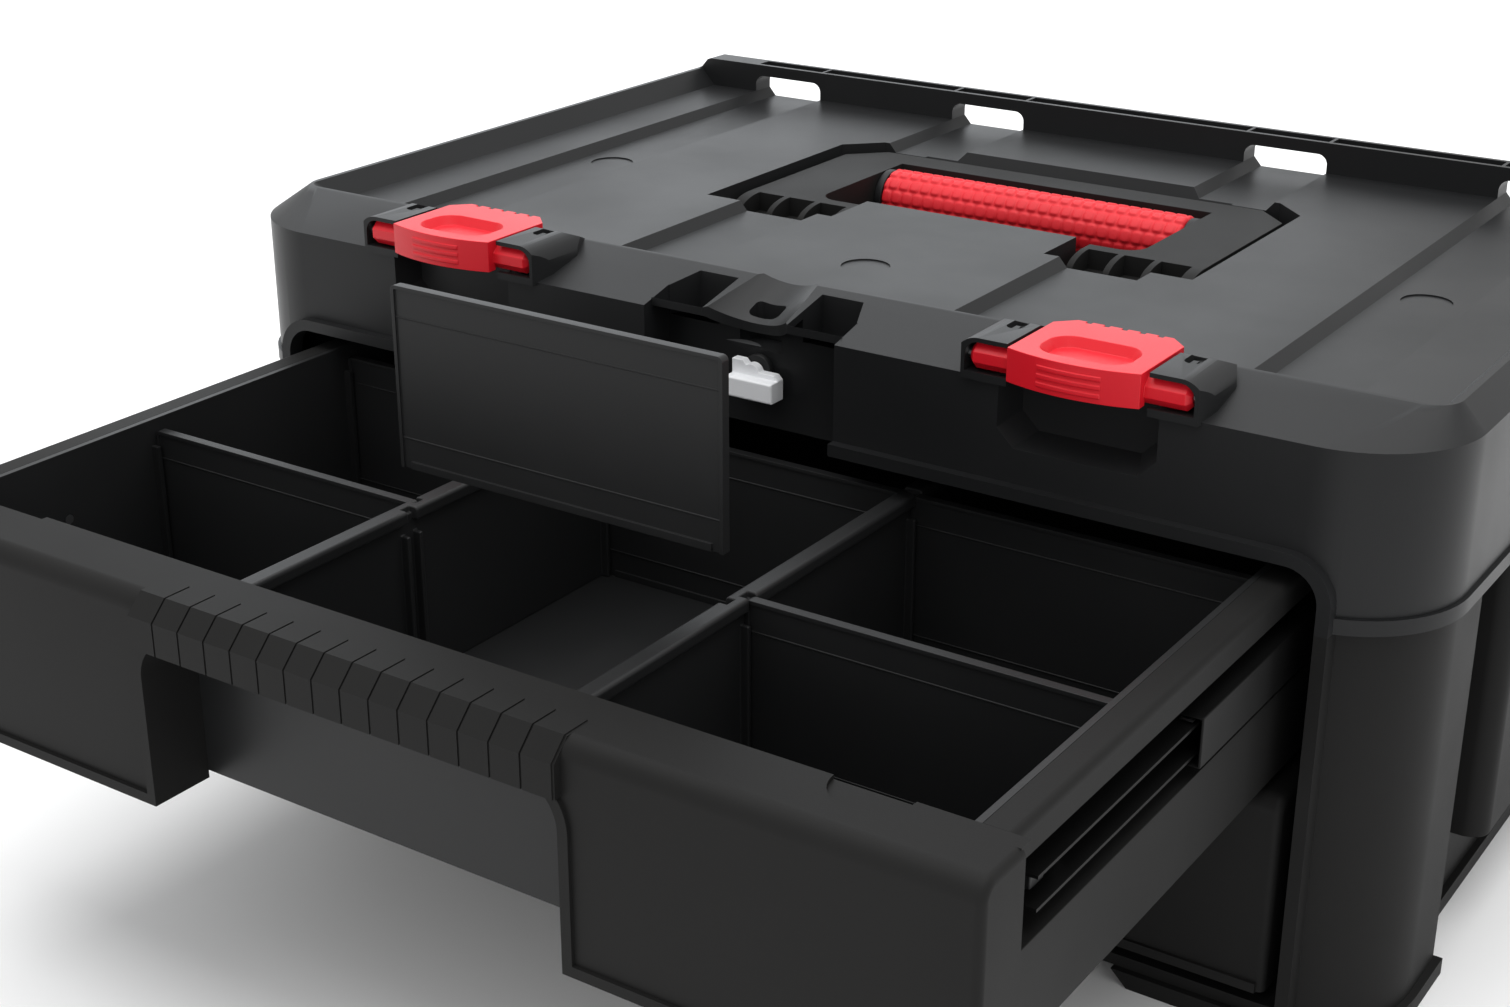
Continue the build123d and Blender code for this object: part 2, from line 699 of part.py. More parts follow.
# Lower housing: base, columns, side and back walls, and the pads that the rails screw to
with BuildPart() as lower_housing:
    extrude(lower_outline(0, 0), amount=parting_height)
    extrude(lower_outline(-foot_proud, 0), amount=foot_height)
    for side in (-1, 1):
        block(side_span(side, opening_half, opening_half + bead_width),
              (front_y - bead_proud, front_y + wall + lower_inset),
              (foot_height, parting_height))
    # Drawer bay, wider at the front for the drawer fronts
    block((-opening_half, opening_half),
          (front_y - 2 * bead_proud, front_y + front_thickness + shelf_overlap),
          (base_floor, parting_height + 1.0), mode=Mode.SUBTRACT)
    block((-bay_half, bay_half), (front_y, bay_back_y), (base_floor, parting_height + 1.0),
          mode=Mode.SUBTRACT)
    # Hollow columns, sides and back, open towards the upper housing
    with BuildSketch(Plane.XY.offset(base_plate)) as hollow:
        add(lower_outline(wall, 0))
        bay_end = bay_back_y + wall
        with Locations((0, bay_end - case_depth)):
            Rectangle(2 * inner_half, 2 * case_depth, mode=Mode.SUBTRACT)
    extrude(hollow.sketch, amount=parting_height, mode=Mode.SUBTRACT)
    # Underside sunk between the outer wall and two crossing ribs
    under_x = bay_half - 3 * wall
    under_y = bay_back_y - wall
    for x in ((-under_x, -base_rib / 2), (base_rib / 2, under_x)):
        for y in ((-under_y, -base_rib / 2), (base_rib / 2, under_y)):
            block(x, y, (0, base_floor - base_plate), mode=Mode.SUBTRACT)
    extrude(face_xz([(-front_relief_width / 2 - front_relief_height, 0),
                     (front_relief_width / 2 + front_relief_height, 0),
                     (front_relief_width / 2, front_relief_height),
                     (-front_relief_width / 2, front_relief_height)], -under_y),
            amount=case_depth / 2, mode=Mode.SUBTRACT)
    # Rail pads and the posts for the housing screws
    for side in (-1, 1):
        for top in (upper_top, upper_top - drawer_pitch):
            middle = top - rail_drop
            block(side_span(side, rail_face_x, bay_half + 1.0),
                  (front_y + rail_front_setback, front_y + rail_front_setback + rail_length),
                  span(middle, rail_height - 2 * rail_steel))
            for y in case_screw_depths:
                rod(side_span(side, rail_face_x - 1.0, rail_face_x + 2 * rail_pad), y, middle,
                    rail_screw_radius + fit_gap, mode=Mode.SUBTRACT)
    for x in (-post_x, post_x):
        for y in (-post_y, post_y):
            rod(x, y, (0, parting_height), post_radius)
            rod(x, y, (-1.0, parting_height - screw_shelf), screw_head_radius + running_gap,
                mode=Mode.SUBTRACT)
            rod(x, y, (0, parting_height + 1.0), screw_radius + fit_gap, mode=Mode.SUBTRACT)
save(lower_housing.part, "lower_housing")

with BuildPart() as housing_screws:
    for x in (-post_x, post_x):
        for y in (-post_y, post_y):
            seat = parting_height - screw_shelf
            rod(x, y, (seat - screw_head_height, seat), screw_head_radius)
            rod(x, y, (seat, seat + screw_length), screw_radius)
save(housing_screws.part, "housing_screws")


def make_side_handle(side):
    """A carry handle on one side: a hood that is open below, for the fingers."""
    near = case_half - side_recess_depth
    far = near + side_handle_reach
    with BuildPart() as handle:
        block(side_span(side, near, far), span(0, side_handle_length),
              (side_handle_bottom, parting_height))
        outer = handle.edges().filter_by(Axis.Z).group_by(Axis.X)[-1 if side > 0 else 0]
        fillet(outer, side_handle_reach / 2)
        block(side_span(side, near, far - wall), span(0, side_handle_length - 2 * wall),
              (side_handle_bottom - 1.0, parting_height - 2 * wall), mode=Mode.SUBTRACT)
    return handle.part


save(make_side_handle(-1), "side_handle_left")
save(make_side_handle(1), "side_handle_right")


def bulged_face(x, width, y_front, y_back, bulge, height):
    """A plan of a block whose front face bulges in the middle. It extrudes upwards."""
    half = width / 2
    with BuildSketch(Plane.XY.offset(height)) as outline:
        with BuildLine():
            Polyline((x - half, y_front), (x - half, y_back), (x + half, y_back),
                     (x + half, y_front))
            ThreePointArc((x + half, y_front), (x, y_front - bulge), (x - half, y_front))
        make_face()
    return outline.sketch


def make_latch(side):
    """A latch: a bar on the pivot, a pad that lies back over the rim and a lip to lift it by."""
    x = side * latch_x
    pad_low = rim_height + latch_pad_gap
    pad_top = pad_low + latch_pad_thickness
    lip_low = pad_top - latch_lip_drop
    lip_front = latch_pivot_y - latch_lip_reach - latch_lip_thickness / 2
    pad_back = lip_front + latch_pad_length
    with BuildPart() as latch:
        with BuildSketch(Plane.YZ.offset(x - latch_bar_width / 2)) as bar:
            with Locations((latch_pivot_y, latch_pivot_z)):
                Rectangle(latch_bar, latch_bar)
            chamfer(bar.vertices(), latch_bar_chamfer)
        extrude(bar.sketch, amount=latch_bar_width)
        chamfer(latch.faces().filter_by(Axis.X).edges(), latch_bar_end_chamfer)
        extrude(bulged_face(x, latch_pad_width, lip_front, pad_back, latch_lip_bulge, pad_low),
                amount=latch_pad_thickness)
        extrude(bulged_face(x, latch_pad_width, lip_front, lip_front + latch_lip_thickness,
                            latch_lip_bulge, lip_low), amount=latch_lip_drop)
        block(span(x, latch_pad_width), (lip_front, latch_pivot_y + latch_bar / 4),
              (latch_pivot_z, pad_top))
        # Ribs on the lip, cut corners and teeth at the back
        rib_half = latch_rib_width / 2
        rib_bulge = latch_lip_bulge * (2 * rib_half / latch_pad_width) ** 2
        rib_front = lip_front - latch_lip_bulge + rib_bulge - latch_rib_proud
        for number in range(latch_rib_count):
            rib_low = pad_top - latch_lip_thickness + latch_rib_height - number * latch_rib_pitch
            extrude(bulged_face(x, latch_rib_width, rib_front, lip_front + 1.0, rib_bulge,
                                rib_low - latch_rib_height), amount=latch_rib_height)
        for hand in (-1, 1):
            corner_x = x + hand * latch_pad_width / 2
            extrude(face_xy([(corner_x - hand * latch_corner, pad_back + 1.0),
                             (corner_x - hand * latch_corner, pad_back),
                             (corner_x, pad_back - latch_corner),
                             (corner_x + hand, pad_back - latch_corner),
                             (corner_x + hand, pad_back + 1.0)], pad_low - 1.0),
                    amount=latch_pad_thickness + 2.0, mode=Mode.SUBTRACT)
        for number in range(latch_tooth_count):
            tooth_x = x + (number - (latch_tooth_count - 1) / 2) * latch_tooth_pitch
            block(span(tooth_x, latch_tooth_width), (pad_back - latch_tooth_depth, pad_back + 1.0),
                  (pad_low - 1.0, pad_top + 1.0), mode=Mode.SUBTRACT)
        # Dish in the pad
        with BuildSketch(Plane.XY.offset(pad_top)) as dish:
            with Locations((x, lip_front + latch_dish_setback + latch_dish_length / 2)):
                Rectangle(latch_dish_width, latch_dish_length)
            fillet(dish.vertices(), latch_dish_corner)
        extrude(dish.sketch, amount=-latch_dish_depth, taper=latch_dish_taper, mode=Mode.SUBTRACT)
        rod((x - latch_bar_width, x + latch_bar_width), latch_pivot_y, latch_pivot_z,
            latch_pin_radius + running_gap, mode=Mode.SUBTRACT)
    return latch.part


def make_latch_pin(side):
    """The steel pin of a latch, held at both ends in the ears of the lid."""
    reach = latch_bar_width / 2 + latch_side_gap + latch_pin_bed
    with BuildPart() as pin:
        rod(span(side * latch_x, 2 * reach), latch_pivot_y, latch_pivot_z, latch_pin_radius)
    return pin.part


for side, hand in ((-1, "left"), (1, "right")):
    save(make_latch(side), f"latch_{hand}")
    save(make_latch_pin(side), f"latch_pin_{hand}")

# Lock: a boss on the recess wall, a thumb lever in front of it and a spindle with a cam behind
with BuildPart() as lock_boss:
    rod(0, (lock_wall_y - lock_boss_height, lock_wall_y), lock_z, lock_boss_radius)
    rod(0, (lock_wall_y - 2 * lock_boss_height, lock_wall_y + 1.0), lock_z,
        lock_spindle_radius + running_gap, mode=Mode.SUBTRACT)
save(lock_boss.part, "lock_boss")

with BuildPart() as lock_lever:
    lever_back = lock_wall_y - lock_boss_height - lever_gap
    rod(0, (lever_back - lever_hub_height, lever_back), lock_z, lever_hub_radius)
    extrude(face_xz([(-lever_tail, lock_z + lever_crest),
                     (-lever_tail, lock_z - lever_tab_low),
                     (lever_length, lock_z - lever_tab_low),
                     (lever_length, lock_z - lever_edge),
                     (lever_length - 2 * lever_edge, lock_z + lever_tab_high),
                     (0, lock_z + lever_tab_high),
                     (lever_tail_width - lever_tail, lock_z + lever_crest)], lever_back),
            amount=lever_hub_height)
    block((-lever_tail, lever_length), (lever_back - lever_tab_depth, lever_back),
          (lock_z - lever_tab_low, lock_z - lever_edge))
    fillet(lock_lever.faces().sort_by(Axis.Y)[0].edges(), lever_edge)
    rod(0, (lever_back - lever_hub_height / 2, lever_back + 1.0), lock_z,
        lock_spindle_radius + fit_gap, mode=Mode.SUBTRACT)
save(lock_lever.part, "lock_lever")

with BuildPart() as lock_spindle:
    cam_front = lock_wall_y + wall + lever_gap
    rod(0, (lever_back - lever_hub_height / 2, cam_front), lock_z, lock_spindle_radius)
    block((-lock_cam_width / 2, lock_cam_length), (cam_front, cam_front + lock_cam_thickness),
          span(lock_z, lock_cam_width))
save(lock_spindle.part, "lock_spindle")

# Carry handle: frame with hinge blocks and a core rod, grip sleeve, end collars and hinge pins
handle_half = handle_width / 2
arm_in = handle_half - handle_arm
block_in = handle_half - handle_block_width
handle_low = handle_top - handle_thickness
block_back = handle_front_y + handle_block_depth
spine_front = handle_back_y - handle_spine
with BuildPart() as handle_frame:
    extrude(face_xy([(-handle_half, handle_front_y), (-block_in, handle_front_y),
                     (-block_in, block_back), (-arm_in, block_back), (-arm_in, spine_front),
                     (arm_in, spine_front), (arm_in, block_back), (block_in, block_back),
                     (block_in, handle_front_y), (handle_half, handle_front_y),
                     (handle_half, handle_back_y - handle_chamfer),
                     (handle_half - handle_chamfer, handle_back_y),
                     (-handle_half + handle_chamfer, handle_back_y),
                     (-handle_half, handle_back_y - handle_chamfer)], handle_low),
            amount=handle_thickness)
    corners = handle_frame.edges().filter_by(Axis.Z)
    corners = corners.filter_by_position(Axis.Y, block_back - 0.5, block_back + 0.5)
    fillet(corners.filter_by(lambda edge: abs(edge.center().X) > arm_in - 0.5), handle_block_corner)
    # Round nose of the hinge blocks
    nose_y = handle_front_y + handle_nose_length
    with BuildSketch(Plane.YZ.offset(-handle_width)) as nose:
        with Locations((handle_front_y - 1.0, handle_top - handle_nose_height)):
            Rectangle(handle_nose_length + 1.0, handle_nose_height + 1.0,
                      align=(Align.MIN, Align.MIN))
        with Locations((nose_y, handle_top - handle_nose_height)):
            Ellipse(handle_nose_length, handle_nose_height, mode=Mode.SUBTRACT)
    extrude(nose.sketch, amount=2 * handle_width, mode=Mode.SUBTRACT)
    rod((-arm_in - 1.0, arm_in + 1.0), grip_y, grip_z, grip_core_radius)
    for side in (-1, 1):
        for cell in range(handle_cells):
            cell_x = block_in + handle_cell_rib + cell * (handle_cell_width + handle_cell_rib)
            block(side_span(side, cell_x, cell_x + handle_cell_width),
                  (handle_front_y - 1.0, nose_y),
                  (handle_top - handle_cell_depth, handle_top + 1.0), mode=Mode.SUBTRACT)
        rod(side_span(side, handle_half - handle_pin_length, handle_half + 1.0),
            handle_pivot_y, handle_pivot_z, handle_pin_radius + running_gap, mode=Mode.SUBTRACT)
save(handle_frame.part, "handle_frame")

with BuildPart() as handle_grip:
    rod(span(0, grip_length), grip_y, grip_z, grip_radius)
    fillet(handle_grip.edges().filter_by(GeomType.CIRCLE), grip_radius / 7)
    rod(span(0, grip_length + 2.0), grip_y, grip_z, grip_core_radius + fit_gap,
        mode=Mode.SUBTRACT)
save(handle_grip.part, "handle_grip")

with BuildPart() as grip_collars:
    for side in (-1, 1):
        rod(side_span(side, grip_length / 2, arm_in), grip_y, grip_z, grip_collar_radius)
        rod(side_span(side, grip_length / 2 - 1.0, arm_in + 1.0), grip_y, grip_z,
            grip_core_radius + fit_gap, mode=Mode.SUBTRACT)
save(grip_collars.part, "grip_collars")

with BuildPart() as handle_pins:
    for side in (-1, 1):
        rod(side_span(side, handle_half - handle_pin_length + 0.5, well_half + wall),
            handle_pivot_y, handle_pivot_z, handle_pin_radius)
save(handle_pins.part, "handle_pins")

# Sections of the telescopic rails, measured outwards from the middle of the box
case_web_out = rail_face_x
case_web_in = case_web_out - rail_steel
middle_web_out = case_web_in - rail_web_gap
middle_web_in = middle_web_out - rail_steel
drawer_web_in = tub_wall_x
drawer_web_out = drawer_web_in + rail_steel
case_half_height = rail_height / 2
middle_half_height = case_half_height - rail_steel - outer_ball
drawer_half_height = middle_half_height - rail_steel - inner_ball


def make_channel(side, web, flange_end, half_height, y_low, length, middle):
    """A steel C section along Y: a web between two X distances, with flanges to a third."""
    web_in, web_out = web
    inner = half_height - rail_steel
    outward = flange_end > web_out
    face_x = web_out if outward else web_in
    with BuildPart() as channel:
        block(side_span(side, web_in, web_out), (y_low, y_low + length),
              span(middle, 2 * half_height))
        for level in (-1, 1):
            low, high = sorted((middle + level * inner, middle + level * half_height))
            block(side_span(side, face_x, flange_end), (y_low, y_low + length), (low, high))
    return channel.part


def make_case_rail(side, top):
    """The rail member that is screwed to the case."""
    return make_channel(side, (case_web_in, case_web_out), drawer_web_out + rail_flange_setback,
                        case_half_height, front_y + rail_front_setback, rail_length,
                        top - rail_drop)


def make_middle_rail(side, top, rail_y):
    """The rail member that runs between the case's and the drawer's."""
    return make_channel(side, (middle_web_in, middle_web_out),
                        drawer_web_out + rail_flange_setback / 2, middle_half_height,
                        rail_y, rail_length, top - rail_drop)


def make_drawer_rail(side, top, rail_y):
    """The rail member that is screwed to the drawer."""
    return make_channel(side, (drawer_web_in, drawer_web_out),
                        middle_web_in - rail_flange_setback / 2, drawer_half_height,
                        rail_y, drawer_rail_length, top - rail_drop)


outer_row_x = (middle_web_in + drawer_web_out + rail_flange_setback) / 2
inner_row_x = outer_row_x - rail_steel
outer_row_z = case_half_height - rail_steel - outer_ball / 2
inner_row_z = middle_half_height - rail_steel - inner_ball / 2
ball_stretch = ball_pitch * ball_count
ball_rows = ((outer_row_x, outer_row_z, outer_ball, rail_length - ball_stretch),
             (inner_row_x, inner_row_z, inner_ball, 0.0))


def ball_depths(row_y):
    """The Y of each ball of a row, counted from the front of its bearing stretch."""
    return [row_y + ball_pitch * (number + 0.5) for number in range(ball_count)]


def make_balls(top, rail_y):
    """The steel balls of one drawer's rails."""
    with BuildPart() as balls:
        for side in (-1, 1):
            for row_x, row_z, size, setback in ball_rows:
                for level in (-1, 1):
                    for y in ball_depths(rail_y + setback):
                        with Locations((side * row_x, y, top - rail_drop + level * row_z)):
                            Sphere(size / 2 - ball_gap / 2)
    return balls.part


def make_cages(top, rail_y):
    """The strips that keep the balls of one drawer's rails apart, with a hole for each ball."""
    with BuildPart() as cages:
        for side in (-1, 1):
            for row_x, row_z, size, setback in ball_rows:
                for level in (-1, 1):
                    z = top - rail_drop + level * row_z
                    row_y = rail_y + setback
                    block(span(side * row_x, cage_width), (row_y, row_y + ball_stretch),
                          span(z, cage_thickness))
                    for y in ball_depths(row_y):
                        rod(side * row_x, y, span(z, 2 * cage_thickness), size / 2 + ball_gap / 2,
                            mode=Mode.SUBTRACT)
    return cages.part


with BuildPart() as case_rail_screws:
    for side in (-1, 1):
        for top in (upper_top, upper_top - drawer_pitch):
            for y in case_screw_depths:
                rod(side_span(side, case_web_in - rail_screw_head, case_web_in), y,
                    top - rail_drop, rail_screw_head_radius)
                rod(side_span(side, case_web_in, rail_face_x + rail_pad), y, top - rail_drop,
                    rail_screw_radius)
save(case_rail_screws.part, "case_rail_screws")


def make_drilled_case_rail(side, top):
    """The case's rail member with its screw holes."""
    with BuildPart() as rail:
        add(make_case_rail(side, top))
        for y in case_screw_depths:
            rod(side_span(side, case_web_in - 1.0, case_web_out + 1.0), y, top - rail_drop,
                rail_screw_radius + fit_gap, mode=Mode.SUBTRACT)
    return rail.part


def drawer_screw_depths(rail_y):
    """The Y of the two screws that hold a rail member to a drawer."""
    return rail_y + rail_screw_inset, rail_y + drawer_rail_length - rail_screw_inset


def make_drilled_drawer_rail(side, top, rail_y):
    """The drawer's rail member with its screw holes."""
    with BuildPart() as rail:
        add(make_drawer_rail(side, top, rail_y))
        for y in drawer_screw_depths(rail_y):
            rod(side_span(side, drawer_web_in - 1.0, drawer_web_out + 1.0), y, top - rail_drop,
                rail_screw_radius + fit_gap, mode=Mode.SUBTRACT)
    return rail.part


def make_drawer_rail_screws(top, rail_y):
    """The screws that hold the rail members to one drawer's sides."""
    with BuildPart() as screws:
        for side in (-1, 1):
            for y in drawer_screw_depths(rail_y):
                rod(side_span(side, drawer_web_out, drawer_web_out + rail_screw_head), y,
                    top - rail_drop, rail_screw_head_radius)
                rod(side_span(side, drawer_web_in - tub_wall, drawer_web_out), y,
                    top - rail_drop, rail_screw_radius)
    return screws.part


def divider_depths(drawer_y):
    """The Y of the removable cross dividers and of the fixed rear dividers of a drawer."""
    return drawer_y + divider_setback, drawer_y + rear_divider_setback


def middle_depths(drawer_y):
    """The Y of the cross dividers in the middle column, the front one nearer the drawer's front."""
    return drawer_y + middle_divider_setback, drawer_y + rear_divider_setback


def guide_pairs(divider_y):
    """The Y limits of the two guide ribs on either side of a cross divider."""
    near = divider_border / 2 + guide_gap
    return ((divider_y - near - guide_thickness, divider_y - near),
            (divider_y + near, divider_y + near + guide_thickness))


def make_tub(top, drawer_y, rail_y):
    """A drawer's tub: four walls and a floor, with guides for the cross dividers."""
    low = top - front_height + tub_lift
    inner = tub_inner_width / 2
    tub_y = drawer_y + front_thickness
    with BuildPart() as tub:
        block((-tub_wall_x, tub_wall_x), (tub_y, tub_y + tub_depth), (low, top))
        block((-inner, inner), (tub_y + tub_wall, tub_y + tub_depth - tub_wall),
              (low + tub_floor, top + 1.0), mode=Mode.SUBTRACT)
        # The front's shelf covers the front wall
        block((-tub_wall_x - 1.0, tub_wall_x + 1.0), (tub_y - 1.0, tub_y + shelf_overlap),
              (top - shelf_thickness, top + 1.0), mode=Mode.SUBTRACT)
        for side in (-1, 1):
            for divider_y in divider_depths(drawer_y):
                for y in guide_pairs(divider_y):
                    block(side_span(side, inner - guide_depth, inner + 0.5), y,
                          (low + tub_floor, top - flange_drop))
            for y in drawer_screw_depths(rail_y):
                rod(side_span(side, inner - 1.0, tub_wall_x + 1.0), y, top - rail_drop,
                    rail_screw_radius + fit_gap, mode=Mode.SUBTRACT)
        for x in span(0, front_screw_spacing):
            rod(x, (tub_y - 1.0, tub_y + tub_wall + 1.0), top - front_height / 2,
                front_screw_radius + fit_gap, mode=Mode.SUBTRACT)
    return tub.part


def make_side_strips(side, top, drawer_y):
    """The strips on a drawer's side: a flange over the rail, and a ledge with a skirt below it."""
    low = top - front_height + tub_lift
    tub_y = drawer_y + front_thickness
    flange_x = tub_wall_x + flange_overhang
    ledge_x = flange_x - 1.0
    ledge_z = top - ledge_drop
    flange = [(tub_wall_x, top - shelf_thickness), (flange_x - ledge_thickness,
                                                    top - shelf_thickness),
              (flange_x - ledge_thickness, top - flange_drop), (flange_x, top - flange_drop),
              (flange_x, top), (tub_wall_x, top)]
    ledge = [(tub_wall_x, ledge_z - ledge_thickness),
             (ledge_x - ledge_thickness, ledge_z - ledge_thickness),
             (ledge_x - ledge_thickness, low), (ledge_x, low), (ledge_x, ledge_z),
             (tub_wall_x, ledge_z)]
    with BuildPart() as strips:
        for points, start in ((flange, tub_y + shelf_overlap), (ledge, tub_y)):
            extrude(face_xz([(side * x, z) for x, z in points], tub_y + tub_depth),
                    amount=tub_y + tub_depth - start)
        top_edges = strips.edges().filter_by(Axis.Y).group_by(Axis.Z)[-1].sort_by(Axis.X)
        fillet(top_edges[-1] if side > 0 else top_edges[0], flange_radius)
    return strips.part


def make_front(top, drawer_y):
    """A drawer's front: a hollow panel with an arch for the hand below a ribbed pull grip."""
    half = front_width / 2
    low = top - front_height
    back_y = drawer_y + front_thickness
    arch_half = arch_width / 2
    arch_top = low + arch_height
    with BuildPart() as front:
        block((-half, half), (drawer_y, back_y), (low, top))
        fillet(front.edges().filter_by(Axis.X).group_by(Axis.Y)[0].sort_by(Axis.Z)[-1:],
               front_edge_radius)
        upright = front.edges().filter_by(Axis.Z).group_by(Axis.Y)[0]
        fillet(upright, front_skin)
        block((-half + 1.0, half - 1.0), (back_y - 1.0, back_y + shelf_overlap),
              (top - shelf_thickness, top))
        # Bead along the lower edge and round the arch
        extrude(arch_face(arch_half + arch_bead, low, arch_top + arch_bead,
                          arch_radius + arch_bead, drawer_y + 1.0), amount=1.0 + arch_bead_proud)
        block((-half + front_skin, half - front_skin), (drawer_y - arch_bead_proud, drawer_y + 1.0),
              (low, low + arch_bead))
        # Hollows behind the skin, and the arch
        for side in (-1, 1):
            block(side_span(side, arch_half + front_skin, half - front_skin),
                  (drawer_y + front_skin, back_y + 1.0),
                  (low - 1.0, top - front_edge_radius), mode=Mode.SUBTRACT)
        block((-arch_half, arch_half), (drawer_y + front_skin, back_y),
              (arch_top + front_skin, top - shelf_thickness), mode=Mode.SUBTRACT)
        extrude(arch_face(arch_half, low - 1.0, arch_top, arch_radius, back_y + 1.0),
                amount=front_thickness + 2.0 + arch_bead_proud, mode=Mode.SUBTRACT)
        # Pull grip with its ribs, and the finger dips in the shelf
        for count, width, proud in ((1, grip_width, 0.0), (grip_rib_count, 0.0, grip_rib_proud)):
            pitch = grip_width / count
            reach = grip_proud + proud
            section = [(drawer_y + 1.0, top - grip_height), (drawer_y - reach, top - grip_height),
                       (drawer_y - reach, top - grip_chamfer + proud),
                       (drawer_y - reach + grip_chamfer, top + proud),
                       (drawer_y + grip_top_depth, top + proud),
                       (drawer_y + grip_top_depth, top - 1.0),
                       (drawer_y + grip_chamfer, top - 1.0),
                       (drawer_y + 1.0, top - grip_chamfer)]
            for number in range(count):
                start = -grip_width / 2 + pitch * number
                length = width if width else pitch - grip_rib_gap
                extrude(face_yz(section, start), amount=length)
        for x in span(0, dip_spacing):
            rod(x, back_y + shelf_overlap, (top - dip_depth, top + 1.0), dip_radius,
                mode=Mode.SUBTRACT)
        # Bosses that take the screws from the tub
        for x in span(0, front_screw_spacing):
            rod(x, (drawer_y + front_skin, back_y), top - front_height / 2, front_boss_radius)
            rod(x, (back_y - front_screw_length, back_y + 1.0), top - front_height / 2,
                front_screw_radius + fit_gap, mode=Mode.SUBTRACT)
    return front.part


def make_long_divider(side, top, drawer_y):
    """A fixed wall along a drawer, with a wide top and guides for the cross dividers."""
    x = side * long_divider_spacing / 2
    floor = top - front_height + tub_lift + tub_floor
    tub_y = drawer_y + front_thickness
    high = top - divider_headroom
    y_limits = (tub_y + tub_wall, tub_y + tub_depth - tub_wall)
    with BuildPart() as divider:
        block(span(x, long_divider_thickness), y_limits, (floor, high))
        block(span(x, long_divider_top), y_limits, (high - long_divider_top_height, high))
        fillet(divider.edges().filter_by(Axis.Y).group_by(Axis.Z)[-1], long_divider_top / 5)
        guide_reach = long_divider_thickness / 2 + guide_depth
        notch_reach = long_divider_top / 2 + 1.0
        for hand, depths in ((side, divider_depths(drawer_y)), (-side, middle_depths(drawer_y))):
            for divider_y in depths:
                for y in guide_pairs(divider_y):
                    block(span(x + hand * guide_reach / 2, guide_reach), y,
                          (floor, high - 2 * long_divider_top_height))
                block(span(x + hand * notch_reach / 2, notch_reach),
                      span(divider_y, divider_border + 2 * guide_gap),
                      (high - long_divider_top_height - 1.0, high + 1.0), mode=Mode.SUBTRACT)
                block(span(x, long_divider_thickness), span(divider_y, 4 * guide_thickness),
                      (high - 2 * long_divider_top_height, high - long_divider_top_height / 2))
    return divider.part


def make_cross_divider(x_low, x_high, divider_y, top, raised=0.0):
    """A cross divider with a thicker border, a hem at its foot and two fine lines on its faces."""
    floor = top - front_height + tub_lift + tub_floor + divider_floor_gap + raised
    high = top - divider_headroom - divider_drop + raised
    middle = (x_low + x_high) / 2
    half = (x_high - x_low) / 2
    with BuildPart() as divider:
        extrude(arch_face(half, floor, high, divider_corner_radius,
                          divider_y + divider_border / 2, middle), amount=divider_border)
        for y in span(divider_y, divider_border + divider_thickness):
            extrude(arch_face(half - divider_border_width, floor - 1.0,
                              high - divider_border_width,
                              divider_corner_radius - divider_border_width,
                              y + divider_border / 2, middle), amount=divider_border,
                    mode=Mode.SUBTRACT)
        block(span(middle, 2 * (half - divider_hem_inset)), span(divider_y, divider_border),
              (floor, floor + divider_hem))
        for z in (floor + divider_line_drop, high - divider_line_drop):
            block(span(middle, 2 * (half - divider_border_width)),
                  span(divider_y, divider_thickness + 2 * divider_line_proud),
                  span(z, divider_line_width))
    return divider.part


def column_limits(column):
    """The X limits of a cross divider in the left, middle or right column of a drawer."""
    inner = long_divider_spacing / 2 - long_divider_thickness / 2 - divider_end_gap
    outer = tub_inner_width / 2 - divider_end_gap
    beyond = long_divider_spacing / 2 + long_divider_thickness / 2 + divider_end_gap
    return {"left": (-outer, -beyond), "middle": (-inner, inner), "right": (beyond, outer)}[column]


def make_rear_dividers(top, drawer_y):
    """The three fixed cross dividers near the back of a drawer."""
    rear_y = divider_depths(drawer_y)[1]
    with BuildPart() as dividers:
        for column in ("left", "middle", "right"):
            x_low, x_high = column_limits(column)
            add(make_cross_divider(x_low, x_high, rear_y, top, raised=-divider_floor_gap))
    return dividers.part


def make_release_levers(top, rail_y):
    """The spring levers near the front of a drawer's rail members, which free the drawer."""
    with BuildPart() as levers:
        for side in (-1, 1):
            z = top - rail_drop
            start = rail_y + release_lever_start
            block(side_span(side, drawer_web_out, drawer_web_out + rail_steel),
                  (start, start + release_lever_length), span(z, 2 * rail_steel))
            block(side_span(side, drawer_web_out, drawer_web_out + 4 * rail_steel),
                  (start, start + release_lever_tab), span(z, 4 * rail_steel))
    return levers.part


def make_front_screws(top, drawer_y):
    """The screws that hold a drawer's front to its tub, driven from inside the tub."""
    tub_y = drawer_y + front_thickness
    with BuildPart() as screws:
        for x in span(0, front_screw_spacing):
            seat = tub_y + tub_wall
            rod(x, (seat, seat + front_screw_head), top - front_height / 2,
                front_screw_head_radius)
            rod(x, (seat - front_screw_length, seat), top - front_height / 2,
                front_screw_radius)
    return screws.part


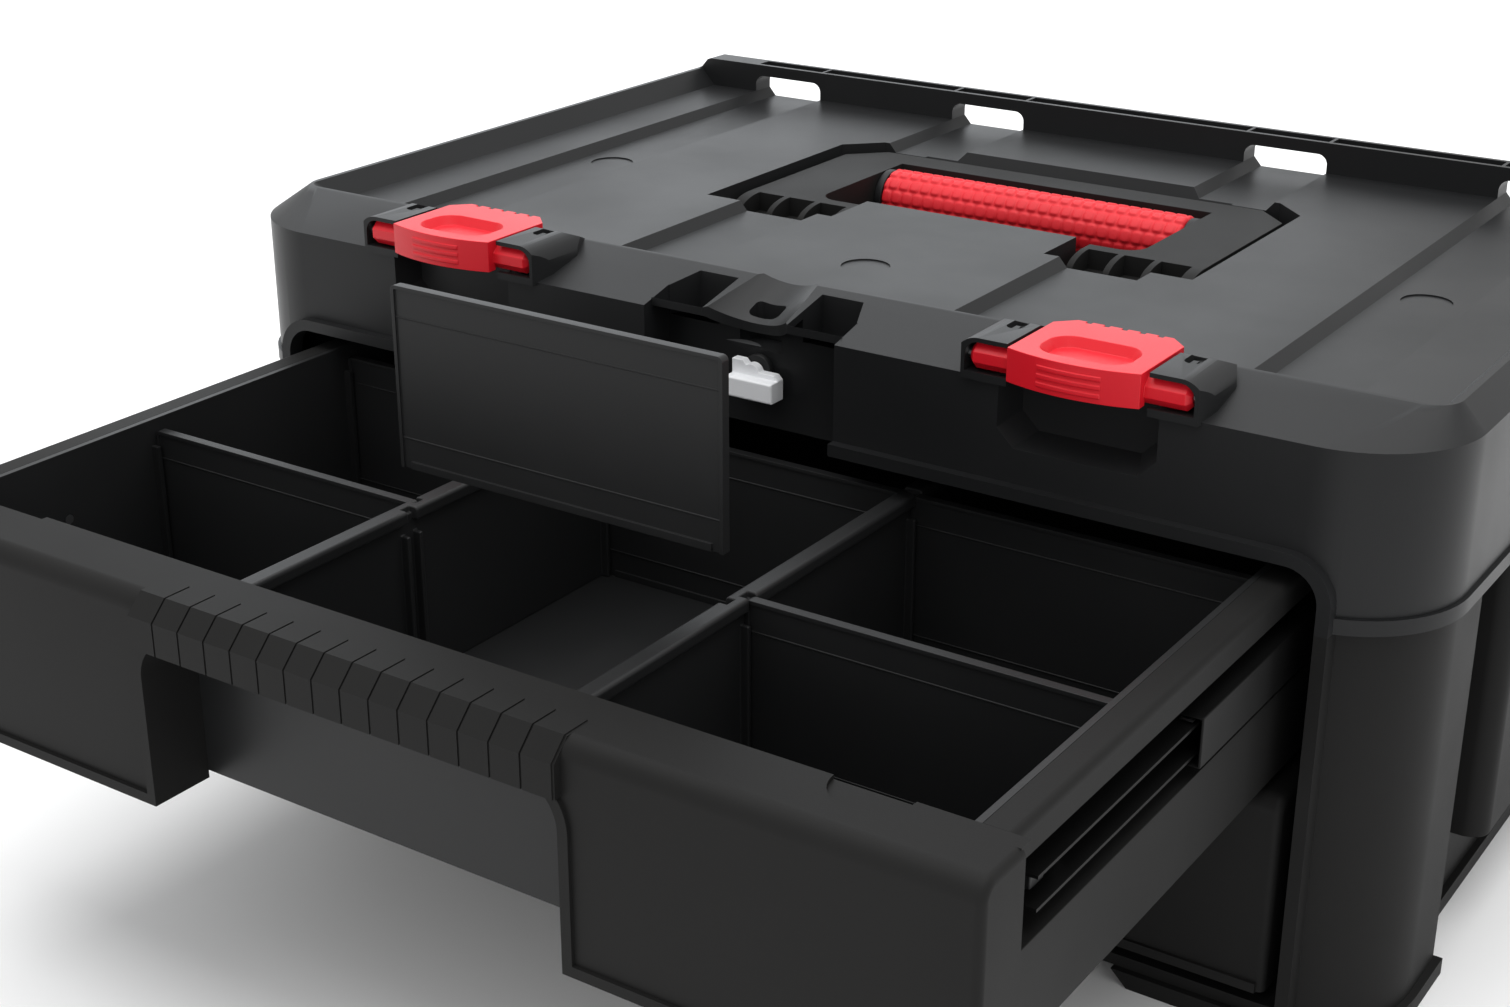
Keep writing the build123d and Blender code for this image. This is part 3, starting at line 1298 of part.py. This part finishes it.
drawers = {
    "upper": (upper_top, upper_open_y, upper_shut_y, stage_travel),
    "lower": (upper_top - drawer_pitch, lower_shut_y, lower_shut_y, 0.0),
}
for name, (top, drawer_y, shut_y, stage) in drawers.items():
    drawer_rail_y = front_y + rail_front_setback - (shut_y - drawer_y)
    middle_rail_y = front_y + rail_front_setback - stage
    save(make_tub(top, drawer_y, drawer_rail_y), f"{name}_drawer_tub")
    save(make_front(top, drawer_y), f"{name}_drawer_front")
    save(make_front_screws(top, drawer_y), f"{name}_front_screws")
    save(make_rear_dividers(top, drawer_y), f"{name}_rear_dividers")
    save(make_balls(top, middle_rail_y), f"{name}_rail_balls")
    save(make_cages(top, middle_rail_y), f"{name}_ball_cages")
    save(make_drawer_rail_screws(top, drawer_rail_y), f"{name}_drawer_rail_screws")
    save(make_release_levers(top, drawer_rail_y), f"{name}_release_levers")
    for side, hand in ((-1, "left"), (1, "right")):
        save(make_side_strips(side, top, drawer_y), f"{name}_side_strips_{hand}")
        save(make_long_divider(side, top, drawer_y), f"{name}_long_divider_{hand}")
        save(make_drilled_case_rail(side, top), f"{name}_case_rail_{hand}")
        save(make_middle_rail(side, top, middle_rail_y), f"{name}_middle_rail_{hand}")
        save(make_drilled_drawer_rail(side, top, drawer_rail_y), f"{name}_drawer_rail_{hand}")
    for column in ("left", "middle", "right"):
        lifted = lifted_height if (name, column) == ("upper", "middle") else 0.0
        x_low, x_high = column_limits(column)
        cross_y = (middle_depths if column == "middle" else divider_depths)(drawer_y)[0]
        save(make_cross_divider(x_low, x_high, cross_y, top, lifted),
             f"{name}_divider_{column}")
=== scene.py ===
"""Looks of the drawer organizer box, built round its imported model.

Metres, in the model's own frame: +Z up, the front faces -Y, the origin in the middle of the base.
Mouldings and rails get a copy of their solid with rounded edges, the handle's grip becomes a sleeve
of scales, and pins, the lock's spindle, balls, cages and screws keep their solids.
"""
import json
import math

import bmesh
import bpy
import numpy as np
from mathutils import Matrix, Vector


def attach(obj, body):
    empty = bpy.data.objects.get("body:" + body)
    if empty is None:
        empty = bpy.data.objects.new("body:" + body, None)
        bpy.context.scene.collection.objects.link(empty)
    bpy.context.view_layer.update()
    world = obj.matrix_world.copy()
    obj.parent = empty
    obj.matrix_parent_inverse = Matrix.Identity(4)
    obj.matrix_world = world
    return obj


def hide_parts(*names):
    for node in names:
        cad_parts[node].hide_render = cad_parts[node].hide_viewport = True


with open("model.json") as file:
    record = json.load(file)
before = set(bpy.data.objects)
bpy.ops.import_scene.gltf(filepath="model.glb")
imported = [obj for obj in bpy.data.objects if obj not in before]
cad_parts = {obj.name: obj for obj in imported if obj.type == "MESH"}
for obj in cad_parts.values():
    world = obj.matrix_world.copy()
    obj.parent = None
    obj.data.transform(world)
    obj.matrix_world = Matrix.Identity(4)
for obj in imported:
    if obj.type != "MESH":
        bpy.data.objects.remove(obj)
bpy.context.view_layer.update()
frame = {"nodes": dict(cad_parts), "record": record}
NODES = frame["nodes"]
BODY_OF = {node: body for body, members in frame["record"]["behaviour"]["bodies"].items()
           for node in members}
SLOT_OF = {part["node"]: part["material_slot"] for part in frame["record"]["subparts"]}

# Camera, as fitted to the photograph
CAMERA_PLACE = (0.4744, -0.8754, 0.510)
CAMERA_LOOKS = (-0.5163, 0.7654, -0.3843)
SENSOR_WIDTH = 36.0
FOCAL_LENGTH = 53.64

# Studio: each lamp's place, aim, size, power and colour
LAMPS = {
    "overhead": ((0, 0, 3.0), (0, 0, 0), 3.5, 90.0, (1, 1, 1)),
    "back_left": ((-1.6, 2.0, 1.25), (0, 0, 0.2), 2.2, 12.0, (0.86, 0.93, 1.0)),
}
SURROUND_STRENGTH = 0.9
FLOOR_REACH = 12.0
FLOOR_GREY = 0.9
FLOOR_ROUGHNESS = 0.9

# Surface grain: noise in cycles per metre, and the height that a bump of full strength stands for
PLASTIC_GRAIN = 2200.0
SOFT_GRAIN = 3000.0
STEEL_GRAIN = 900.0
CLOUD_SCALE = 9.0
WEAR_PATCH_SCALE = 160.0
GRAIN_HEIGHT = 0.0003
GLOSS_SPREAD = 0.08

# Rounded edges
MERGE_DISTANCE = 2e-6
FLAT_ANGLE = math.radians(0.6)
SHARP_ANGLE = math.radians(25.0)
ROUND_STEPS = 2
PLAIN_EDGE = 0.0006
EDGE_WIDTH = {"upper_housing": 0.0011, "lower_housing": 0.0011, "handle_frame": 0.0012,
              "latch_left": 0.0008, "latch_right": 0.0008, "upper_drawer_tub": 0.0003,
              "upper_side_strips_left": 0.0003, "upper_side_strips_right": 0.0003}
KEEPS_ITS_SOLID = ("screws", "balls", "cages", "pins", "latch_pin", "spindle")

# Scales of the red grip
GRIP = "handle_grip"
SCALE_ROWS = 12
SCALE_COLUMNS = 27
POINTS_ACROSS_SCALE = 16
POINTS_ALONG_SCALE = 11
SCALE_DEPTH = 0.0009
SCALE_TILT = 0.4
SCALE_FLAT = 0.62
GRIP_END_ROUNDING = 0.0022
GRIP_CORE_RADIUS = 0.008


def new_group(name, inputs, outputs):
    """An empty shader node group with named sockets. Returns the tree, its input and its output."""
    tree = bpy.data.node_groups.new(name, "ShaderNodeTree")
    for label, value in inputs:
        item = tree.interface.new_socket(label, in_out="INPUT", socket_type="NodeSocketFloat")
        item.default_value = value
    for label in outputs:
        tree.interface.new_socket(label, in_out="OUTPUT", socket_type="NodeSocketFloat")
    return tree, tree.nodes.new("NodeGroupInput"), tree.nodes.new("NodeGroupOutput")


def feed(tree, socket, value):
    """Give an input a value: a link from another socket, or a constant."""
    if isinstance(value, bpy.types.NodeSocket):
        tree.links.new(value, socket)
    else:
        socket.default_value = value


def mix_colour(tree, factor, low, high):
    """A colour mix. Each of the three may be a socket or a plain value."""
    node = tree.nodes.new("ShaderNodeMix")
    node.data_type = "RGBA"
    for index, value in ((0, factor), (6, low), (7, high)):
        feed(tree, node.inputs[index], value)
    return node.outputs[2]


def arithmetic(tree, operation, *terms):
    """A Math node, each of its terms a socket or a number."""
    node = tree.nodes.new("ShaderNodeMath")
    node.operation = operation
    for index, value in enumerate(terms):
        feed(tree, node.inputs[index], value)
    return node.outputs[0]


def ramp(tree, value, low, high):
    """A smooth step of a value from 0 at low to 1 at high."""
    node = tree.nodes.new("ShaderNodeMapRange")
    node.interpolation_type = "SMOOTHSTEP"
    feed(tree, node.inputs["Value"], value)
    feed(tree, node.inputs["From Min"], low)
    feed(tree, node.inputs["From Max"], high)
    return node.outputs["Result"]


def noise(tree, scale, detail, roughness):
    """Noise over the piece's own coordinates, in cycles per metre."""
    place = tree.nodes.new("ShaderNodeTexCoord")
    node = tree.nodes.new("ShaderNodeTexNoise")
    feed(tree, node.inputs["Scale"], scale)
    feed(tree, node.inputs["Detail"], detail)
    feed(tree, node.inputs["Roughness"], roughness)
    feed(tree, node.inputs["Vector"], place.outputs["Object"])
    return node.outputs["Fac"]


def moulded_surface_group():
    """Moulded plastic: fine spark-eroded grain, flow clouding, and lighter edges, partly handling
    wear and partly a painted highlight.

    Height is the grain. Shade is a slow cloud from 0 to 1. The edge mask is the rounded edges' own
    attribute, broken up by a patchy noise; it lightens the edges as wear and as a painted
    highlight.
    """
    tree, given, out = new_group(
        "moulded_surface",
        [("Grain Scale", PLASTIC_GRAIN), ("Cloud Scale", CLOUD_SCALE), ("Edge Wear And Highlight", 0.5)],
        ["Height", "Shade", "Wear And Highlight"])
    grain = noise(tree, given.outputs["Grain Scale"], 2.0, 0.6)
    cloud = noise(tree, given.outputs["Cloud Scale"], 4.0, 0.55)
    edge = tree.nodes.new("ShaderNodeAttribute")
    edge.attribute_name = "edge"
    # Edge mask: lightens the rounded edges, partly as wear and partly as a painted highlight.
    patches = ramp(tree, noise(tree, WEAR_PATCH_SCALE, 3.0, 0.5), 0.3, 0.75)
    worn_and_lit = arithmetic(tree, "MULTIPLY", edge.outputs["Fac"], patches)
    wear_and_highlight = arithmetic(tree, "MULTIPLY", worn_and_lit, given.outputs["Edge Wear And Highlight"])
    feed(tree, out.inputs["Height"], grain)
    feed(tree, out.inputs["Shade"], ramp(tree, cloud, 0.3, 0.7))
    feed(tree, out.inputs["Wear And Highlight"], wear_and_highlight)
    return tree


MOULDED_SURFACE = moulded_surface_group()


def moulded_plastic(name, dark, light, worn_and_lit, roughness, specular=0.5, grain=PLASTIC_GRAIN,
                    bump=0.12, wear_and_highlight=0.5):
    """A moulded plastic: two close shades, edges lightened as wear and as a painted highlight,
    grain in the normal, cloud in the gloss.
    """
    material = bpy.data.materials.new(name)
    material.use_nodes = True
    tree = material.node_tree
    shader = tree.nodes["Principled BSDF"]
    group = tree.nodes.new("ShaderNodeGroup")
    group.node_tree = MOULDED_SURFACE
    group.inputs["Grain Scale"].default_value = grain
    group.inputs["Edge Wear And Highlight"].default_value = wear_and_highlight
    shade = mix_colour(tree, group.outputs["Shade"], (*dark, 1), (*light, 1))
    # The lighter edge colour is partly wear and partly a painted highlight on the rounded edges.
    feed(tree, shader.inputs["Base Color"],
         mix_colour(tree, group.outputs["Wear And Highlight"], shade, (*worn_and_lit, 1)))
    feed(tree, shader.inputs["Roughness"],
         arithmetic(tree, "MULTIPLY_ADD", group.outputs["Shade"], GLOSS_SPREAD, roughness))
    relief = tree.nodes.new("ShaderNodeBump")
    relief.inputs["Strength"].default_value = bump
    relief.inputs["Distance"].default_value = GRAIN_HEIGHT
    feed(tree, relief.inputs["Height"], group.outputs["Height"])
    feed(tree, shader.inputs["Normal"], relief.outputs["Normal"])
    shader.inputs["Specular IOR Level"].default_value = specular
    return material


def sheet_steel(name, dark, light, worn_and_lit, roughness, metallic, specular, wear_and_highlight):
    """Sheet steel: a coarser, flatter grain than plastic, and lighter edges, partly rubbed bright
    and partly a painted highlight.
    """
    material = moulded_plastic(name, dark, light, worn_and_lit, roughness, specular, STEEL_GRAIN, 0.05,
                               wear_and_highlight)
    material.node_tree.nodes["Principled BSDF"].inputs["Metallic"].default_value = metallic
    return material


# In each finish, the lighter edge colour and its strength are partly wear and partly a painted
# highlight.
FINISH = {
    "charcoal_plastic": moulded_plastic(
        "charcoal_moulding", dark=(0.0120, 0.0124, 0.0130), light=(0.0140, 0.0144, 0.0150),
        worn_and_lit=(0.034, 0.0345, 0.0355), roughness=0.36, specular=0.18),
    "matt_plastic": moulded_plastic(
        "matt_charcoal_moulding", dark=(0.0125, 0.0124, 0.0122), light=(0.0145, 0.0144, 0.0142),
        worn_and_lit=(0.034, 0.0345, 0.0355), roughness=0.45, specular=0.07),
    "dark_plastic": moulded_plastic(
        "dark_moulding", dark=(0.0125, 0.0128, 0.0132), light=(0.0150, 0.0153, 0.0157),
        worn_and_lit=(0.036, 0.0365, 0.0375), roughness=0.36, specular=0.22),
    "red_plastic": moulded_plastic(
        "red_moulding", dark=(0.60, 0.006, 0.016), light=(0.66, 0.009, 0.02),
        worn_and_lit=(0.85, 0.07, 0.07), roughness=0.34, specular=0.35, wear_and_highlight=0.4),
    "red_grip": moulded_plastic(
        "red_soft_grip", dark=(0.60, 0.010, 0.018), light=(0.68, 0.014, 0.024),
        worn_and_lit=(0.7, 0.03, 0.03), roughness=0.50, specular=0.35, grain=SOFT_GRAIN),
    "black_rubber": moulded_plastic(
        "black_collar", dark=(0.008, 0.008, 0.009), light=(0.011, 0.011, 0.012),
        worn_and_lit=(0.03, 0.03, 0.03), roughness=0.5, specular=0.3),
    "white_plastic": moulded_plastic(
        "white_lever", dark=(0.80, 0.81, 0.83), light=(0.86, 0.87, 0.89),
        worn_and_lit=(0.9, 0.9, 0.91), roughness=0.35),
    "black_steel": sheet_steel(
        "black_rail", dark=(0.004, 0.004, 0.004), light=(0.006, 0.006, 0.006),
        worn_and_lit=(0.20, 0.20, 0.21), roughness=0.4, metallic=0.0, specular=0.10, wear_and_highlight=0.9),
    "bright_steel": sheet_steel(
        "zinc_steel", dark=(0.5, 0.5, 0.51), light=(0.6, 0.6, 0.61),
        worn_and_lit=(0.7, 0.7, 0.7), roughness=0.28, metallic=1.0, specular=0.5, wear_and_highlight=0.3),
}
MATT_WORDS = ("lower_housing", "side_handle", "drawer_front", "side_strips", "handle_frame")


def finish_of(node):
    """The finish of a node: its slot's own, or the matt one where the mouldings are coarser."""
    if any(word in node for word in MATT_WORDS):
        return FINISH["matt_plastic"]
    return FINISH[SLOT_OF[node]]


def stand_for(piece, node):
    """Put a finished piece in the scene, on its node's body, in the node's place and slot."""
    bpy.context.scene.collection.objects.link(piece)
    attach(piece, BODY_OF[node])
    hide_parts(node)


def rounded_copy(node, width):
    """A copy of a node's solid with its sharp edges rounded, standing for the node.

    The solid's loose triangles are merged and its flats joined; edges that turn by more than
    SHARP_ANGLE are bevelled, and the new narrow faces carry the attribute edge = 1.
    """
    body = bmesh.new()
    body.from_mesh(NODES[node].data)
    bmesh.ops.remove_doubles(body, verts=body.verts, dist=MERGE_DISTANCE)
    bmesh.ops.dissolve_limit(body, angle_limit=FLAT_ANGLE, verts=body.verts, edges=body.edges)
    sharp = [edge for edge in body.edges
             if len(edge.link_faces) == 2 and edge.calc_face_angle(0.0) > SHARP_ANGLE]
    made = bmesh.ops.bevel(body, geom=sharp, offset=width, offset_type="OFFSET",
                           segments=ROUND_STEPS, profile=0.5, clamp_overlap=True,
                           affect="EDGES")
    mark = body.faces.layers.float.new("edge")
    for face in made["faces"]:
        if face.is_valid:
            face[mark] = 1.0
    mesh = bpy.data.meshes.new(f"{node}_rounded")
    body.to_mesh(mesh)
    body.free()
    mesh.shade_smooth()
    mesh.materials.append(finish_of(node))
    piece = bpy.data.objects.new(f"{node}_rounded", mesh)
    even = piece.modifiers.new("even_normals", "WEIGHTED_NORMAL")
    even.keep_sharp = True
    stand_for(piece, node)


def grid_faces(rows, columns):
    """The quads of a grid of points that closes on itself along its columns."""
    row, column = np.meshgrid(np.arange(rows - 1), np.arange(columns), indexing="ij")
    after = (column + 1) % columns
    corners = np.stack([row * columns + column, row * columns + after,
                        (row + 1) * columns + after, (row + 1) * columns + column], axis=-1)
    return corners.reshape(-1, 4)


def node_limits(node):
    """The low and high corners of a node's solid."""
    flat = np.empty(3 * len(NODES[node].data.vertices))
    NODES[node].data.vertices.foreach_get("co", flat)
    points = flat.reshape(-1, 3)
    return points.min(axis=0), points.max(axis=0)


def scaled_grip():
    """The red grip, a sleeve covered with rows of rounded scales.

    At angle a round the sleeve and place x along it, the radius is
    R - depth * (1 - tile * (1 - tilt + tilt * v)), where v runs from 0 to 1 across a row of scales
    and tile is a rounded square, 1 - smoothstep(flat, 1, (|2u|^4 + |2v - 1|^4)^(1/4)), with u from
    -1/2 to 1/2 along a scale. Every second row is shifted by half a scale. The ends round in with
    sqrt(1 - e^2) over the last millimetres and close on the core.
    """
    low, high = node_limits(GRIP)
    middle = (low + high) / 2
    radius = (high[2] - low[2]) / 2
    length = high[0] - low[0]
    stations = np.linspace(0.0, 1.0, SCALE_COLUMNS * POINTS_ALONG_SCALE + 1)
    along = np.concatenate([[0.0], stations, [1.0]])
    angle = np.linspace(0.0, 2 * math.pi, SCALE_ROWS * POINTS_ACROSS_SCALE, endpoint=False)
    place, turn = np.meshgrid(along, angle, indexing="ij")
    row = turn / (2 * math.pi) * SCALE_ROWS
    across = row - np.floor(row)
    column = place * SCALE_COLUMNS + 0.5 * (np.floor(row) % 2)
    sideways = column - np.floor(column) - 0.5
    ring = (np.abs(2 * sideways) ** 4 + np.abs(2 * across - 1) ** 4) ** 0.25
    step = np.clip((ring - SCALE_FLAT) / (1 - SCALE_FLAT), 0, 1)
    tile = 1 - step * step * (3 - 2 * step)
    reach = radius - SCALE_DEPTH * (1 - tile * (1 - SCALE_TILT + SCALE_TILT * across))
    from_end = np.clip(1 - np.minimum(place, 1 - place) * length / GRIP_END_ROUNDING, 0, 1)
    reach = reach - GRIP_END_ROUNDING * (1 - np.sqrt(1 - from_end ** 2))
    reach[[0, -1]] = GRIP_CORE_RADIUS
    points = np.stack([low[0] + place * length, middle[1] - reach * np.sin(turn),
                       middle[2] + reach * np.cos(turn)], axis=-1).reshape(-1, 3)
    mesh = bpy.data.meshes.new("grip_scales")
    mesh.from_pydata(points, [], grid_faces(len(along), len(angle)))
    mesh.shade_smooth()
    mesh.materials.append(finish_of(GRIP))
    stand_for(bpy.data.objects.new("grip_scales", mesh), GRIP)


def dress_nodes():
    """Give every node its finish, and its rounded copy or scales where it has them."""
    for node, solid in NODES.items():
        solid.data.materials.clear()
        solid.data.materials.append(finish_of(node))
        if node != GRIP and not any(word in node for word in KEEPS_ITS_SOLID):
            rounded_copy(node, EDGE_WIDTH.get(node, PLAIN_EDGE))
    scaled_grip()


def build_floor():
    """A pale plain floor under the box."""
    mesh = bpy.data.meshes.new("floor")
    mesh.from_pydata([(-FLOOR_REACH, -FLOOR_REACH, 0), (FLOOR_REACH, -FLOOR_REACH, 0),
                      (FLOOR_REACH, FLOOR_REACH, 0), (-FLOOR_REACH, FLOOR_REACH, 0)],
                     [], [(0, 1, 2, 3)])
    paint = bpy.data.materials.new("floor_paint")
    paint.use_nodes = True
    shader = paint.node_tree.nodes["Principled BSDF"]
    shader.inputs["Base Color"].default_value = (FLOOR_GREY, FLOOR_GREY, FLOOR_GREY, 1)
    shader.inputs["Roughness"].default_value = FLOOR_ROUGHNESS
    mesh.materials.append(paint)
    floor = bpy.data.objects.new("floor", mesh)
    bpy.context.scene.collection.objects.link(floor)


def build_lights():
    """A white surround and broad soft lamps."""
    world = bpy.data.worlds.new("studio")
    world.use_nodes = True
    surround = world.node_tree.nodes["Background"]
    surround.inputs["Color"].default_value = (1, 1, 1, 1)
    surround.inputs["Strength"].default_value = SURROUND_STRENGTH
    bpy.context.scene.world = world
    for name, (place, aim, size, power, colour) in LAMPS.items():
        lamp = bpy.data.lights.new(name, "AREA")
        lamp.size = size
        lamp.energy = power
        lamp.color = colour
        light = bpy.data.objects.new(name, lamp)
        light.location = place
        light.rotation_euler = (Vector(aim) - Vector(place)).to_track_quat("-Z", "Y").to_euler()
        bpy.context.scene.collection.objects.link(light)


def build_camera():
    """The camera at the photograph's viewing angle."""
    lens = bpy.data.cameras.new("camera")
    lens.sensor_width = SENSOR_WIDTH
    lens.lens = FOCAL_LENGTH
    camera = bpy.data.objects.new("camera", lens)
    camera.location = CAMERA_PLACE
    camera.rotation_euler = Vector(CAMERA_LOOKS).to_track_quat("-Z", "Y").to_euler()
    bpy.context.scene.collection.objects.link(camera)
    bpy.context.scene.camera = camera


dress_nodes()
build_floor()
build_lights()
build_camera()
bpy.context.scene.view_settings.view_transform = "Standard"
